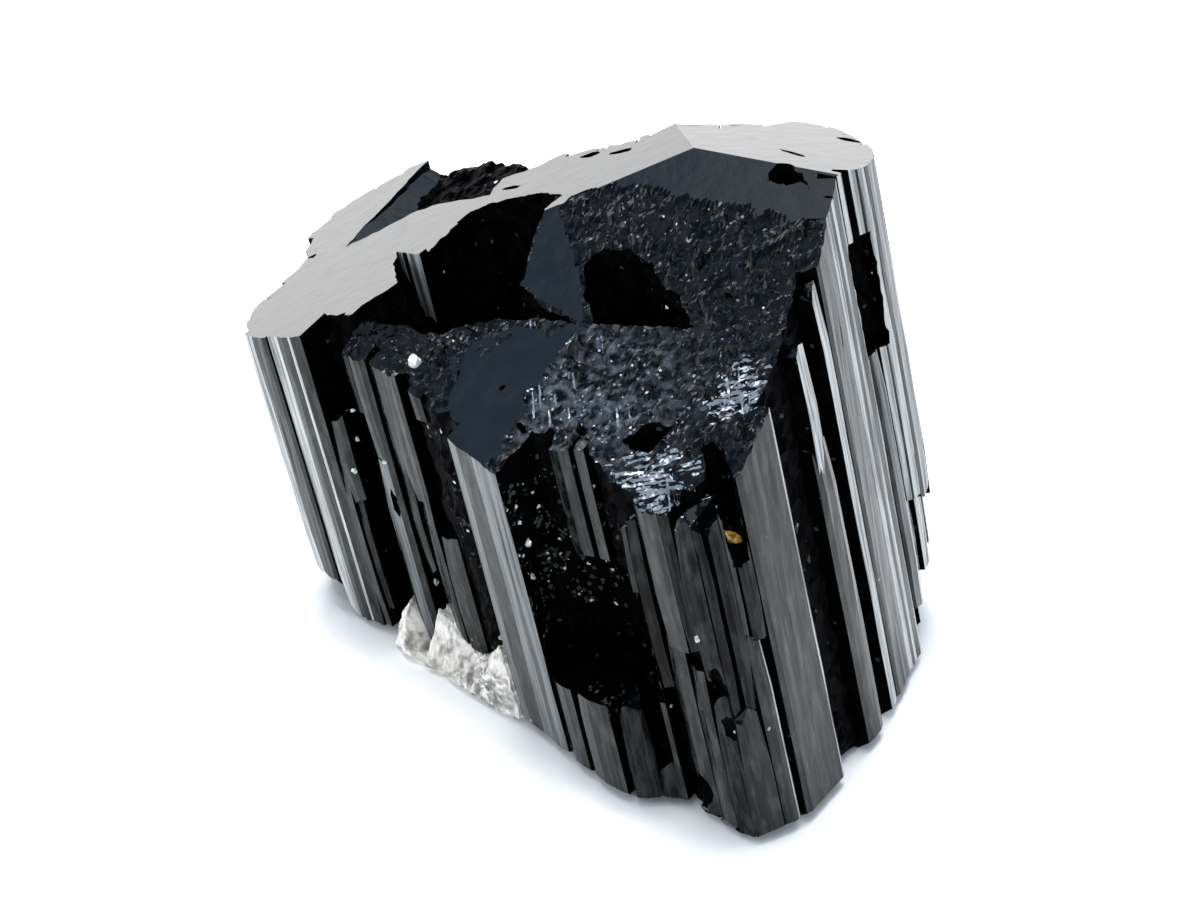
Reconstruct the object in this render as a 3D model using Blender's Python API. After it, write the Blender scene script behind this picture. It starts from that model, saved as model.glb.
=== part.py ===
# Black tourmaline crystal with a scrap of its feldspar matrix.
#
# The crystal is laid out in its own axes, in millimetres: u and v lie across it and w runs
# up the prism. Every column is a prism along w. The finished solid is leaned over, set down
# on its broken base and scaled to metres.
#
# Across the prism the outline is a rounded triangle. Seen from the front it has a left face,
# a front corner and a right face. The long back side faces away.
import math
import random

import bmesh
import bpy
from mathutils import Matrix, Vector

MM = 0.001                                # the numbers below are millimetres
LEAN = math.radians(11.57)                # the prism leans to the left by this much
FLOOR = -24.0                             # height of the ground below the left top corner
SEAT_U, SEAT_V = 25.055, -2.815           # shift that centres the finished box on the origin
TALL, DEEP = 16.0, -44.0                  # ends of a column that runs the whole height
GAP = 0.3                                 # clear space between two separate minerals

# terminating faces: a point and the upward normal, in u, v, w
APEX = Vector((34.7, 1.3, 8.5))
FACE_LEFT = Vector((-0.2473, 0.0756, 1.0))
FACE_RIGHT = Vector((0.1891, 0.1764, 1.0))
FACE_FRONT = Vector((-0.224, -0.411, 0.884))
LEDGE_POINT = Vector((14.8, -14.2, -2.6))
LEDGE = Vector((-0.208, -0.340, 1.0))
TROUGH_POINT = Vector((6.9, 10.7, 0.9))   # on the edge of a dark facet behind the left face
TROUGH_FACET = Vector((0.56, -0.31, 1.0))

# the solid middle of the crystal, behind the columns
CORE = ((2.3, 2.3), (5.4, 0.2), (9.2, -3.0), (12.0, -6.4), (14.0, -10.8), (16.4, -13.2), (19.2, -14.8),
        (22.0, -16.2), (24.5, -17.3), (25.4, -19.4), (26.2, -21.8), (28.0, -23.6), (30.0, -25.2),
        (31.8, -25.0), (33.4, -23.0), (35.6, -21.4), (37.2, -19.2), (38.6, -16.8), (39.8, -13.6),
        (41.2, -9.4), (43.0, -5.2), (43.4, 1.6), (42.0, 4.4), (36.6, 4.6), (30.2, 5.4), (22.8, 8.8),
        (19.0, 13.6), (14.6, 18.4), (9.0, 17.0), (6.0, 14.6), (5.0, 9.8), (2.4, 6.4))

# columns of the two faces that show: left corner u, v, right corner u, v, foot w, top w
LEFT_COLUMNS = (
    (0.4, 7.2, -0.6, 4.6, DEEP, TALL), (-0.6, 4.4, -0.4, 2.0, -21.6, TALL),
    (-0.4, 1.9, 0.6, 0.7, -21.4, TALL), (0.6, 0.7, 2.1, -0.7, -24.6, TALL),
    (2.1, -0.8, 3.4, -2.1, DEEP, TALL), (3.1, -1.8, 5.1, -3.6, DEEP, -6.4),
    (4.9, -2.3, 6.2, -3.4, -22.0, -5.8), (7.5, -3.8, 8.0, -4.3, -4.0, TALL),
    (8.1, -4.2, 9.3, -5.4, -8.8, TALL), (7.8, -4.1, 9.4, -5.6, -26.0, -8.6),
    (9.9, -5.7, 11.6, -7.3, -11.6, TALL), (10.4, -6.6, 11.7, -7.9, -24.6, -9.8),
    (11.5, -7.7, 12.8, -9.1, -25.0, -14.0), (12.2, -8.6, 13.3, -9.7, -3.6, TALL))
MIDDLE_COLUMNS = (
    (14.7, -14.0, 15.9, -15.4, DEEP, TALL), (15.9, -15.3, 16.7, -16.2, DEEP, TALL),
    (16.7, -16.3, 18.3, -18.1, DEEP, TALL), (18.2, -18.0, 19.6, -20.0, DEEP, -13.2),
    (19.4, -19.8, 20.5, -21.6, DEEP, -18.0), (20.6, -21.8, 23.1, -23.4, DEEP, -20.0),
    (23.3, -23.2, 25.5, -23.1, DEEP, -20.8), (22.2, -17.6, 23.6, -18.6, -12.6, TALL),
    (24.0, -18.8, 24.7, -19.4, -17.0, TALL), (25.4, -22.1, 26.0, -22.9, -8.0, TALL),
    (25.9, -22.7, 27.3, -24.0, -14.6, TALL), (26.5, -23.4, 27.0, -23.9, -28.0, -14.4),
    (27.7, -24.6, 29.8, -26.5, -25.6, TALL), (28.0, -24.5, 29.2, -25.7, DEEP, -27.2),
    (30.0, -26.6, 31.1, -27.3, -14.2, TALL), (29.8, -26.6, 31.2, -27.5, DEEP, -18.4))
RIGHT_COLUMNS = (
    (31.3, -27.4, 31.8, -26.4, -16.6, -5.0), (31.2, -27.5, 33.6, -25.2, DEEP, -20.4),
    (31.6, -26.4, 34.6, -23.0, DEEP, -4.6), (33.3, -25.1, 34.1, -23.9, DEEP, -15.4),
    (34.8, -25.2, 36.8, -22.2, DEEP, TALL), (36.8, -22.1, 37.4, -21.0, DEEP, TALL),
    (38.5, -18.8, 40.1, -16.6, DEEP, TALL), (40.2, -16.2, 40.8, -15.0, -11.0, TALL),
    (40.9, -13.6, 41.8, -12.6, DEEP, TALL), (41.9, -12.4, 42.8, -9.6, DEEP, TALL),
    (42.7, -9.4, 43.3, -7.8, DEEP, TALL), (43.4, -7.7, 44.0, -6.3, DEEP, TALL),
    (44.3, -6.0, 44.9, -4.6, DEEP, -4.8), (45.3, -6.3, 46.3, -4.7, -12.0, TALL),
    (46.2, -4.6, 46.9, -2.7, -20.2, TALL), (47.0, -2.5, 46.9, -0.3, -21.0, TALL),
    (46.8, -0.1, 46.4, 2.3, -23.0, TALL), (45.2, -4.4, 45.5, -2.4, -28.4, TALL),
    (45.6, -2.2, 45.6, -0.2, -28.0, TALL), (45.6, 0.0, 45.4, 2.2, -27.0, TALL),
    (44.1, -4.8, 44.5, -2.4, DEEP, TALL), (44.6, -2.2, 44.7, 0.0, DEEP, TALL),
    (46.3, 2.5, 45.6, 4.1, -22.4, TALL), (45.5, 4.2, 44.4, 6.0, -27.0, TALL))
# corners of the long hidden side, from the right corner round to the left one
BACK_CORNERS = ((44.3, 6.1), (42.2, 7.5), (36.6, 7.0), (30.7, 7.7), (27.6, 8.9), (23.6, 11.5),
                (20.8, 16.2), (18.4, 19.2), (15.0, 21.6), (12.4, 22.0), (8.4, 20.6), (5.3, 19.2),
                (2.8, 16.2), (3.5, 11.8), (1.6, 9.1), (0.5, 7.4))

# broken places, as outlines across the prism
FRONT_BREAK = ((15.6, -5.5), (13.7, -10.3), (12.0, -11.0), (12.0, -45.0), (60.0, -45.0), (60.0, 4.8),
               (16.2, 4.8), (14.4, 3.1), (13.6, -2.4))
LEFT_BREAK = ((4.6, -6.4), (12.4, -12.0), (13.9, -10.2), (15.8, -5.5), (13.8, -2.0), (12.0, -0.7),
              (10.1, -1.5), (8.3, -2.8), (6.3, -3.2))
LEFT_HOLLOW = ((9.2, -1.9), (11.9, -2.9), (13.4, -4.1), (14.9, -5.0), (16.4, -4.6), (18.7, -5.4),
               (21.6, -6.5), (25.0, -8.4), (22.5, -5.7), (21.1, -3.6), (21.8, -1.7), (22.6, 0.0),
               (23.9, 2.2), (24.8, 2.7), (22.9, 5.2), (18.9, 7.2), (17.3, 7.0), (16.2, 5.7),
               (14.4, 3.0), (12.0, -0.6), (10.3, -1.4))
RIGHT_HOLLOW = ((26.0, -8.7), (29.4, -10.4), (33.2, -12.3), (32.6, -10.6), (32.2, -9.2), (31.2, -7.7),
                (30.7, -6.0), (29.5, -4.3), (27.2, -3.5), (25.9, -3.9), (25.8, -6.2))
LENS_PIT = ((26.6, -18.8), (27.3, -19.9), (28.4, -20.7), (29.6, -21.1), (30.6, -20.5), (31.7, -19.2),
            (29.5, -18.2), (28.1, -18.5))
FRONT_NOTCH = ((32.5, -21.2), (33.0, -24.6), (33.6, -28.4), (35.2, -27.6), (34.7, -25.0), (34.5, -23.4),
               (33.7, -21.4))
FRONT_CAVITY = ((18.8, -14.6), (21.8, -14.2), (24.6, -15.8), (26.4, -18.6), (27.0, -21.6),
                (26.0, -28.0), (20.2, -26.0), (18.4, -17.4))
BACK_TROUGH = ((6.9, 10.7), (9.8, 11.1), (12.0, 11.8), (14.6, 11.4), (17.2, 9.5), (18.8, 8.7),
               (19.6, 10.8), (22.8, 10.4), (30.0, 12.0), (20.0, 30.0), (17.7, 30.0))
SHELF = 1.0                               # the left part of the ledge stands higher by this
TROUGH_DEPTH = 1.4                        # below the left face
# pits: name, outline, height of the floor, height of the rim, width of the floor against the rim
HOLLOWS = (("left_hollow", LEFT_HOLLOW, -7.5, TALL, 0.62),
           ("right_hollow", RIGHT_HOLLOW, -4.6, 8.0, 0.5),
           ("lens_pit", LENS_PIT, -5.6, 1.0, 0.45),
           ("front_notch", FRONT_NOTCH, -8.6, 4.0, 0.8),
           ("front_cavity", FRONT_CAVITY, -20.4, -11.0, 1.0))

# the pale wedge: its outline, and a point and the normal of its sloping top
FELDSPAR = ((5.6, -3.9), (7.4, -6.2), (9.8, -8.7), (12.6, -11.9), (14.6, -13.6), (15.6, -12.2),
            (14.0, -9.4), (11.8, -6.4), (9.0, -3.8), (6.8, -2.2))
FELDSPAR_RIM = -20.0
FELDSPAR_POINT = Vector((9.8, -8.7, -23.6))
FELDSPAR_TOP = Vector((-0.62, -0.70, 1.0))


def collection(name):
    made = bpy.data.collections.new(name)
    bpy.context.scene.collection.children.link(made)
    return made


def material(name, colour, roughness, metallic=0.0):
    made = bpy.data.materials.new(name)
    made.use_nodes = True
    shader = made.node_tree.nodes["Principled BSDF"]
    shader.inputs["Base Color"].default_value = (*colour, 1.0)
    shader.inputs["Roughness"].default_value = roughness
    shader.inputs["Metallic"].default_value = metallic
    return made


def grown(outline, gap):
    """The outline moved outwards by gap. It runs anticlockwise."""
    count = len(outline)
    result = []
    for index in range(count):
        before, here, after = (Vector(outline[(index + step) % count]) for step in (-1, 0, 1))
        one = (here - before).normalized()
        two = (after - here).normalized()
        out = Vector((one.y + two.y, -one.x - two.x)).normalized()
        reach = gap / max(0.5, out.dot(Vector((one.y, -one.x))))
        result.append(tuple(here + out * reach))
    return result


def prism(name, outline, low, high, group):
    """A solid of this outline between two heights: a filled 2D curve with thickness."""
    curve = bpy.data.curves.new(name, "CURVE")
    curve.dimensions = "2D"
    curve.fill_mode = "BOTH"
    curve.extrude = (high - low) / 2
    spline = curve.splines.new("POLY")
    spline.points.add(len(outline) - 1)
    for point, (u, v) in zip(spline.points, outline):
        point.co = (u, v, 0.0, 1.0)
    spline.use_cyclic_u = True
    holder = bpy.data.objects.new(name + "_outline", curve)
    group.objects.link(holder)
    graph = bpy.context.evaluated_depsgraph_get()
    mesh = bpy.data.meshes.new_from_object(holder.evaluated_get(graph))
    mesh.transform(Matrix.Translation((0.0, 0.0, (high + low) / 2)))
    bpy.data.objects.remove(holder)
    clean(mesh)
    made = bpy.data.objects.new(name, mesh)
    group.objects.link(made)
    return made


def clean(mesh):
    work = bmesh.new()
    work.from_mesh(mesh)
    bmesh.ops.remove_doubles(work, verts=work.verts, dist=0.0001)
    bmesh.ops.dissolve_limit(work, angle_limit=0.001, verts=work.verts, edges=work.edges)
    bmesh.ops.recalc_face_normals(work, faces=work.faces)
    for face in work.faces:
        face.smooth = False
    work.to_mesh(mesh)
    work.free()


def slab(name, point, normal, group, size=120.0):
    """A block whose lower face passes through the point, square to the normal."""
    bpy.ops.mesh.primitive_cube_add(size=size)
    made = bpy.context.object
    made.name = name
    for owner in made.users_collection:
        owner.objects.unlink(made)
    group.objects.link(made)
    turn = Vector((0, 0, 1)).rotation_difference(normal.normalized()).to_matrix().to_4x4()
    made.data.transform(Matrix.Translation(point) @ turn @ Matrix.Translation((0, 0, size / 2)))
    return made


def combine(target, operation, tools):
    """Apply one Boolean for each tool, in order."""
    for tool in tools:
        step = target.modifiers.new(tool.name, "BOOLEAN")
        step.operation = operation
        step.solver = "MANIFOLD"          # the exact one leaves open edges on so many touching columns
        step.object = tool
        tool.hide_render = True
        tool.display_type = "WIRE"
    graph = bpy.context.evaluated_depsgraph_get()
    mesh = bpy.data.meshes.new_from_object(target.evaluated_get(graph))
    target.modifiers.clear()
    target.data = mesh


def column_outline(corners, depth=4.0, rib=1.15, relief=0.22):
    """Outline of one column: a fluted outer face with chamfered corners, running into the core."""
    start, end = Vector(corners[:2]), Vector(corners[2:4])
    along = (end - start).normalized()
    inward = Vector((-along.y, along.x))
    width = (end - start).length
    chamfer = min(0.5, width * 0.28)
    flutes = max(1, round((width - 2 * chamfer) / rib))
    outline = [start + inward * depth, start + inward * chamfer]
    for index in range(2 * flutes + 1):
        place = chamfer + (width - 2 * chamfer) * index / (2 * flutes)
        sunk = relief if index % 2 else 0.0
        outline.append(start + along * place + inward * sunk)
    outline += [end + inward * chamfer, end + inward * depth]
    return [tuple(point) for point in outline]


def back_columns():
    """Columns of the hidden side, of uneven width and reach along the line of its corners."""
    pick = random.Random(7)
    found = []
    for start, end in zip(BACK_CORNERS, BACK_CORNERS[1:]):
        start, end = Vector(start), Vector(end)
        length = (end - start).length
        along = (end - start).normalized()
        inward = Vector((-along.y, along.x))
        place = 0.0
        while place < length - 0.3:
            width = min(pick.uniform(1.0, 3.0), length - place)
            if length - place - width < 0.7:
                width = length - place
            sunk = inward * pick.uniform(0.0, 0.7)
            left = start + along * (place + 0.04) + sunk
            right = start + along * (place + width - 0.04) + sunk
            foot = pick.choice((DEEP, DEEP, DEEP, -24.0, -15.0))
            found.append((left.x, left.y, right.x, right.y, foot, TALL))
            place += width
    return found


def set_down(thing):
    """From crystal axes in millimetres to the resting part in metres."""
    lean = Matrix.Rotation(-LEAN, 4, "Y")
    seat = Matrix.Translation((-SEAT_U, -SEAT_V, -FLOOR))
    thing.data.transform(Matrix.Scale(MM, 4) @ seat @ lean)


def ground_block(group, height=0.0):
    """A block below the ground, in crystal axes."""
    up = Vector((math.sin(LEAN), 0.0, math.cos(LEAN)))
    return slab("ground", up * (FLOOR + height), -up, group)


def tourmaline(parts, cutters):
    crystal = prism("tourmaline_crystal", CORE, DEEP, TALL, parts)
    rows = LEFT_COLUMNS + MIDDLE_COLUMNS + RIGHT_COLUMNS + tuple(back_columns())
    columns = [prism(f"column_{index}", column_outline(row[:4]), row[4], row[5], cutters)
               for index, row in enumerate(rows)]
    combine(crystal, "UNION", columns)
    shelf = LEDGE_POINT + Vector((0, 0, SHELF))
    trough = Vector((0, 0, -TROUGH_DEPTH))
    back_floors = ((trough, FACE_LEFT), (TROUGH_POINT, TROUGH_FACET))
    tip = [slab("left_face", Vector((0, 0, 0)), FACE_LEFT, cutters),
           slab("right_face", APEX, FACE_RIGHT, cutters),
           breakage("front_break", FRONT_BREAK, ((APEX, FACE_FRONT), (LEDGE_POINT, LEDGE)), cutters),
           breakage("left_break", LEFT_BREAK, ((shelf, LEDGE),), cutters),
           breakage("back_trough", BACK_TROUGH, back_floors, cutters)]
    pits = [hollow(*row, cutters) for row in HOLLOWS]
    combine(crystal, "DIFFERENCE", tip + pits + [ground_block(cutters)])
    return crystal


def breakage(name, outline, floors, group):
    """What broke away: all that lies inside the outline and above every one of the floors."""
    made = prism(name, outline, DEEP, TALL, group)
    combine(made, "INTERSECT", [slab(f"{name}_floor_{index}", point, normal, group)
                                for index, (point, normal) in enumerate(floors)])
    return made


def hollow(name, outline, floor, rim, taper, group):
    """A pit whose walls draw in towards its floor."""
    made = prism(name, outline, floor, rim, group)
    middle = sum((Vector(point) for point in outline), Vector((0, 0))) / len(outline)
    for vertex in made.data.vertices:
        if vertex.co.z < (floor + rim) / 2:
            flat = middle + (vertex.co.xy - middle) * taper
            vertex.co.x, vertex.co.y = flat
    return made


def feldspar(parts, cutters):
    """The pale wedge between the feet of the left columns, clear of the crystal by the gap."""
    lump = prism("feldspar_matrix", FELDSPAR, DEEP, FELDSPAR_RIM, parts)
    near = [(CORE, DEEP, TALL)]
    for row in LEFT_COLUMNS + MIDDLE_COLUMNS[:2]:
        near.append((column_outline(row[:4]), row[4] - GAP, row[5] + GAP))
    room = [prism(f"room_{index}", grown(outline, GAP), low, high, cutters)
            for index, (outline, low, high) in enumerate(near)]
    top = slab("feldspar_top", FELDSPAR_POINT, FELDSPAR_TOP, cutters)
    combine(lump, "DIFFERENCE", room + [top, ground_block(cutters)])
    return lump


def main():
    for thing in list(bpy.data.objects):
        bpy.data.objects.remove(thing)
    parts, cutters = collection("tourmaline_specimen"), collection("cutters")
    black = material("black_tourmaline", (0.006, 0.007, 0.009), 0.12)
    pale = material("white_feldspar", (0.62, 0.58, 0.50), 0.6)
    for thing, finish in ((tourmaline(parts, cutters), black), (feldspar(parts, cutters), pale)):
        thing.data.materials.clear()
        thing.data.materials.append(finish)
        set_down(thing)


main()
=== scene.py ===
# Black tourmaline crystal on a white table.
# The crystal is modelled in its own axes in millimetres: u and v across the prism, w up it.
# Each finished piece is then stood on the table, leaning as the real one does.
import math
import random
import time

import bpy
from mathutils import Matrix, Vector, noise


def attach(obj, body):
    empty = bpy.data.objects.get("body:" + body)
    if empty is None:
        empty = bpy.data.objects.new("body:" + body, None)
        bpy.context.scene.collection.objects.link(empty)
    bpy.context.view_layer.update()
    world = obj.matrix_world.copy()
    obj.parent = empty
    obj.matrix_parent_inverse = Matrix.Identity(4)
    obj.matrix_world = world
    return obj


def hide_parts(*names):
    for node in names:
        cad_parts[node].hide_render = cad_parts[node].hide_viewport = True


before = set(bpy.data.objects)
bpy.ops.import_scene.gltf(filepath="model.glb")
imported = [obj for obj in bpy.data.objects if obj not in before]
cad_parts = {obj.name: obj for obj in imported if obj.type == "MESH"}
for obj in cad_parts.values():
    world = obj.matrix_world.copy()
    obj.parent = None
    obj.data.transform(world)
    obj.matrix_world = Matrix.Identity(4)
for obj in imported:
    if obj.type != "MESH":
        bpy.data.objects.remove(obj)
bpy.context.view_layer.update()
noise.seed_set(5)               # without it the vector noise differs from run to run
started = time.time()


def report(stage):
    print(f"{stage} after {time.time() - started:.1f} s")


# how the crystal stands
stand = {
    "lean": math.radians(11.57),
    "cornerHeight": 24.0,       # the left top corner above the table
    "seatU": 25.055,
    "seatV": -2.815,
}
prismTurn = Matrix.Rotation(-stand["lean"], 4, "Y")
tableUp = Vector((math.sin(stand["lean"]), 0.0, math.cos(stand["lean"])))
seat = Matrix.Translation((-stand["seatU"], -stand["seatV"], stand["cornerHeight"]))
deep, tall = -38.0, 14.0        # ends of a column that runs the whole height


# finishes
# patterns lie in the crystal's own axes, in metres: u and v across the prism, w up it
mm = 0.001
perMm = 1000.0                      # a pattern's size is given as how many of it lie along a millimetre
seatPlace = Matrix.Rotation(stand["lean"], 4, "Y") @ Vector((-stand["seatU"], -stand["seatV"],
                                                            stand["cornerHeight"]))


def hexColour(code):
    channels = [int(code[k:k + 2], 16) / 255 for k in (1, 3, 5)]
    return (*[c / 12.92 if c < 0.04045 else ((c + 0.055) / 1.055) ** 2.4 for c in channels], 1.0)


def addNode(tree, kind, inputs=(), **settings):
    node = tree.nodes.new(kind)
    for name, value in settings.items():
        setattr(node, name, value)
    for name, value in dict(inputs).items():
        if isinstance(value, bpy.types.Node):
            tree.links.new(value.outputs[0], node.inputs[name])
        elif isinstance(value, bpy.types.NodeSocket):
            tree.links.new(value, node.inputs[name])
        else:
            node.inputs[name].default_value = value
    return node


def newFinish(name):
    finish = bpy.data.materials.new(name)
    finish.use_nodes = True
    tree = finish.node_tree
    tree.nodes.clear()
    place = addNode(tree, "ShaderNodeTexCoord").outputs["Object"]
    along = addNode(tree, "ShaderNodeMapping", {
        "Vector": place, "Rotation": (0.0, stand["lean"], 0.0), "Location": seatPlace * -mm})
    return finish, tree, along


def patch(tree, place, spot):
    # 1 at a place on the crystal, falling to 0 at its reach, both in millimetres
    centre, reach = spot
    away = addNode(tree, "ShaderNodeVectorMath", {0: place, 1: Vector(centre) * mm},
                   operation="DISTANCE").outputs["Value"]
    return addNode(tree, "ShaderNodeMapRange", {"Value": away, "From Min": 0.0, "From Max": reach * mm,
                                                "To Min": 1.0, "To Max": 0.0})


def specks(tree, place, share, grain):
    # scattered tiny spots, used for dust and for painted glints: 1 inside a spot, 0 elsewhere
    # grain is how many cells lie along a millimetre, and how much of its cell a grain fills
    perMetre, size = grain[0] * perMm, grain[1]
    cells = addNode(tree, "ShaderNodeTexVoronoi", {"Vector": place, "Scale": perMetre})
    red = addNode(tree, "ShaderNodeSeparateColor", {"Color": cells.outputs["Color"]})
    chance = addNode(tree, "ShaderNodeMath", {0: red, 1: share}, operation="ADD")
    rare = addNode(tree, "ShaderNodeMath", {0: chance, 1: 1.0}, operation="GREATER_THAN")
    dent = addNode(tree, "ShaderNodeTexNoise", {"Vector": place, "Scale": perMetre * 2, "Detail": 2.0})
    uneven = addNode(tree, "ShaderNodeMath", {0: dent, 1: 0.9, 2: cells.outputs["Distance"]},
                     operation="MULTIPLY_ADD")
    close = addNode(tree, "ShaderNodeMath", {0: uneven, 1: size + 0.42}, operation="LESS_THAN")
    return addNode(tree, "ShaderNodeMath", {0: rare, 1: close}, operation="MULTIPLY")


def facetNormals(tree, place, facets):
    # each cell is a flat facet turned its own way: most hardly, a few steeply
    # facets is how many lie along a millimetre, and how far the calm and the wild ones turn
    count, calm, wild = facets
    cells = addNode(tree, "ShaderNodeTexVoronoi", {"Vector": place, "Scale": count * perMm})
    blue = addNode(tree, "ShaderNodeSeparateColor", {"Color": cells.outputs["Color"]}).outputs["Blue"]
    steep = addNode(tree, "ShaderNodeMath", {0: blue, 1: 5.0}, operation="POWER")
    tilt = addNode(tree, "ShaderNodeMath", {0: steep, 1: wild, 2: calm}, operation="MULTIPLY_ADD")
    push = addNode(tree, "ShaderNodeVectorMath", {0: cells.outputs["Color"], 1: (0.5, 0.5, 0.5)},
                   operation="SUBTRACT")
    push = addNode(tree, "ShaderNodeVectorMath", {0: push, "Scale": tilt}, operation="SCALE")
    normal = addNode(tree, "ShaderNodeNewGeometry").outputs["Normal"]
    turned = addNode(tree, "ShaderNodeVectorMath", {0: normal, 1: push}, operation="ADD")
    return addNode(tree, "ShaderNodeVectorMath", {0: turned}, operation="NORMALIZE")


# as grown; the real striations are finer still, and are drawn as coarse as they need to be to show
ribbedLook = {
    "rib": 4.2,
    "ribAlong": 0.02,           # the pattern is drawn out along the prism
    "patch": 1.5,
    "patchAlong": 0.3,
    "dust": (2.6, 0.36),
    "dustShare": 0.002,
    "dustColour": "#8d9093",
}


def ribbedTourmaline(name, colours, roughness, grain, index):
    # black tourmaline as grown: glassy, with fine striations, and painted highlights as lighter lines along
    # them
    finish, tree, place = newFinish(name)
    look = ribbedLook
    along = addNode(tree, "ShaderNodeMapping", {"Vector": place, "Scale": (1, 1, look["ribAlong"])})
    fine = addNode(tree, "ShaderNodeTexNoise", {"Vector": along, "Scale": look["rib"] * perMm,
                                                "Detail": 3.0})
    patches = addNode(tree, "ShaderNodeMapping", {"Vector": place, "Scale": (1, 1, look["patchAlong"])})
    mottle = addNode(tree, "ShaderNodeTexNoise", {"Vector": patches, "Scale": look["patch"] * perMm,
                                                  "Detail": 4.0})
    bump = addNode(tree, "ShaderNodeBump", {"Height": fine, "Strength": 0.5, "Distance": 0.03 * mm})
    bump = addNode(tree, "ShaderNodeBump", {"Height": mottle, "Strength": grain, "Distance": 0.05 * mm,
                                            "Normal": bump})
    rough = addNode(tree, "ShaderNodeMapRange", {
        "Value": mottle, "From Min": 0.3, "From Max": 0.7,
        "To Min": roughness * 0.6, "To Max": roughness * 1.5})
    # painted highlight: the lighter lines along the striations
    highlightLines = addNode(tree, "ShaderNodeMapRange", {"Value": fine, "From Min": 0.45, "From Max": 0.72})
    base = addNode(tree, "ShaderNodeMix", {"Factor": highlightLines, "A": hexColour(colours[0]),
                                           "B": hexColour(colours[1])}, data_type="RGBA").outputs["Result"]
    cloud = addNode(tree, "ShaderNodeMapRange", {"Value": mottle, "From Min": 0.47, "From Max": 0.7})
    base = addNode(tree, "ShaderNodeMix", {"Factor": cloud, "A": base, "B": hexColour(colours[2])},
                   data_type="RGBA").outputs["Result"]
    dust = specks(tree, place, look["dustShare"], look["dust"])
    base = addNode(tree, "ShaderNodeMix", {"Factor": dust, "A": base, "B": hexColour(look["dustColour"])},
                   data_type="RGBA").outputs["Result"]
    shader = addNode(tree, "ShaderNodeBsdfPrincipled", {
        "Base Color": base, "Roughness": rough, "IOR": index, "Normal": bump})
    addNode(tree, "ShaderNodeOutputMaterial", {"Surface": shader})
    return finish


paintedReflectionLook = {"streak": 3.8, "streakAlong": 0.03, "mottle": 1.6, "roughness": 0.4, "index": 1.35}


def mattTourmaline(name, dim, bright):
    # narrow sides of the columns, matt, with a painted reflection in fine pale streaks along the prism
    finish, tree, place = newFinish(name)
    look = paintedReflectionLook
    along = addNode(tree, "ShaderNodeMapping", {"Vector": place, "Scale": (1, 1, look["streakAlong"])})
    streaks = addNode(tree, "ShaderNodeTexNoise", {"Vector": along, "Scale": look["streak"] * perMm,
                                                   "Detail": 2.0})
    pale = addNode(tree, "ShaderNodeMapRange", {"Value": streaks, "From Min": 0.32, "From Max": 0.6})
    mottle = addNode(tree, "ShaderNodeTexNoise", {"Vector": place, "Scale": look["mottle"] * perMm,
                                                  "Detail": 4.0})
    bump = addNode(tree, "ShaderNodeBump", {"Height": mottle, "Strength": 0.4, "Distance": 0.06 * mm})
    base = addNode(tree, "ShaderNodeMix", {"Factor": pale, "A": hexColour(dim),
                                           "B": hexColour(bright)}, data_type="RGBA").outputs["Result"]
    shader = addNode(tree, "ShaderNodeBsdfPrincipled", {
        "Base Color": base, "Roughness": look["roughness"], "IOR": look["index"], "Normal": bump})
    addNode(tree, "ShaderNodeOutputMaterial", {"Surface": shader})
    return finish


polishedLook = {"mottle": 0.7, "scratch": 1.8, "scratchAcross": 0.12, "colour": "#08090b",
                "roughness": (0.06, 0.2), "index": 1.64}


def polishedTourmaline():
    # growth faces of the tip: almost mirror flat, faintly mottled and scratched
    finish, tree, place = newFinish("tourmaline_polished")
    look = polishedLook
    mottle = addNode(tree, "ShaderNodeTexNoise", {"Vector": place, "Scale": look["mottle"] * perMm,
                                                  "Detail": 5.0})
    across = addNode(tree, "ShaderNodeMapping", {"Vector": place, "Scale": (look["scratchAcross"], 1, 1)})
    scratch = addNode(tree, "ShaderNodeTexNoise", {"Vector": across, "Scale": look["scratch"] * perMm,
                                                   "Detail": 3.0})
    bump = addNode(tree, "ShaderNodeBump", {"Height": mottle, "Strength": 0.2, "Distance": 0.1 * mm})
    bump = addNode(tree, "ShaderNodeBump", {"Height": scratch, "Strength": 0.16, "Distance": 0.05 * mm,
                                            "Normal": bump})
    worn = addNode(tree, "ShaderNodeMapRange", {
        "Value": mottle, "From Min": 0.35, "From Max": 0.7,
        "To Min": look["roughness"][0], "To Max": look["roughness"][1]})
    shader = addNode(tree, "ShaderNodeBsdfPrincipled", {
        "Base Color": hexColour(look["colour"]), "Roughness": worn, "IOR": look["index"], "Normal": bump})
    addNode(tree, "ShaderNodeOutputMaterial", {"Surface": shader})
    return finish


etchedLook = {
    # where the painted light and glints are strongest: a place on the crystal and its reach, in millimetres
    "rim": ((28.6, -23.8, -3.6), 4.5),
    "corner": ((35.6, -18.4, -0.1), 3.0),
    "ledge": ((25.0, -15.0, -1.5), 10.0),
    # sizes of the painted glint specks and streaks
    "grain": (3.6, 0.4),
    "downStreak": (3.6, 0.32),
    "downAlong": 0.08,
    "levelStreak": (3.4, 0.52),
    "levelAlong": 0.2,
    "pit": 1.5,
    "pitBreak": 1.9,
    "tone": 1.3,
    "facets": (2.6, 0.1, 0.9),
    "dark": "#010203",
    "blue": "#0c1016",
    "light": "#535a63",
    "curl": "#181e26",
    "glint": ("#626a74", "#c4cad2"),
    "roughness": 0.17,
    "index": 1.27,
}


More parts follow.
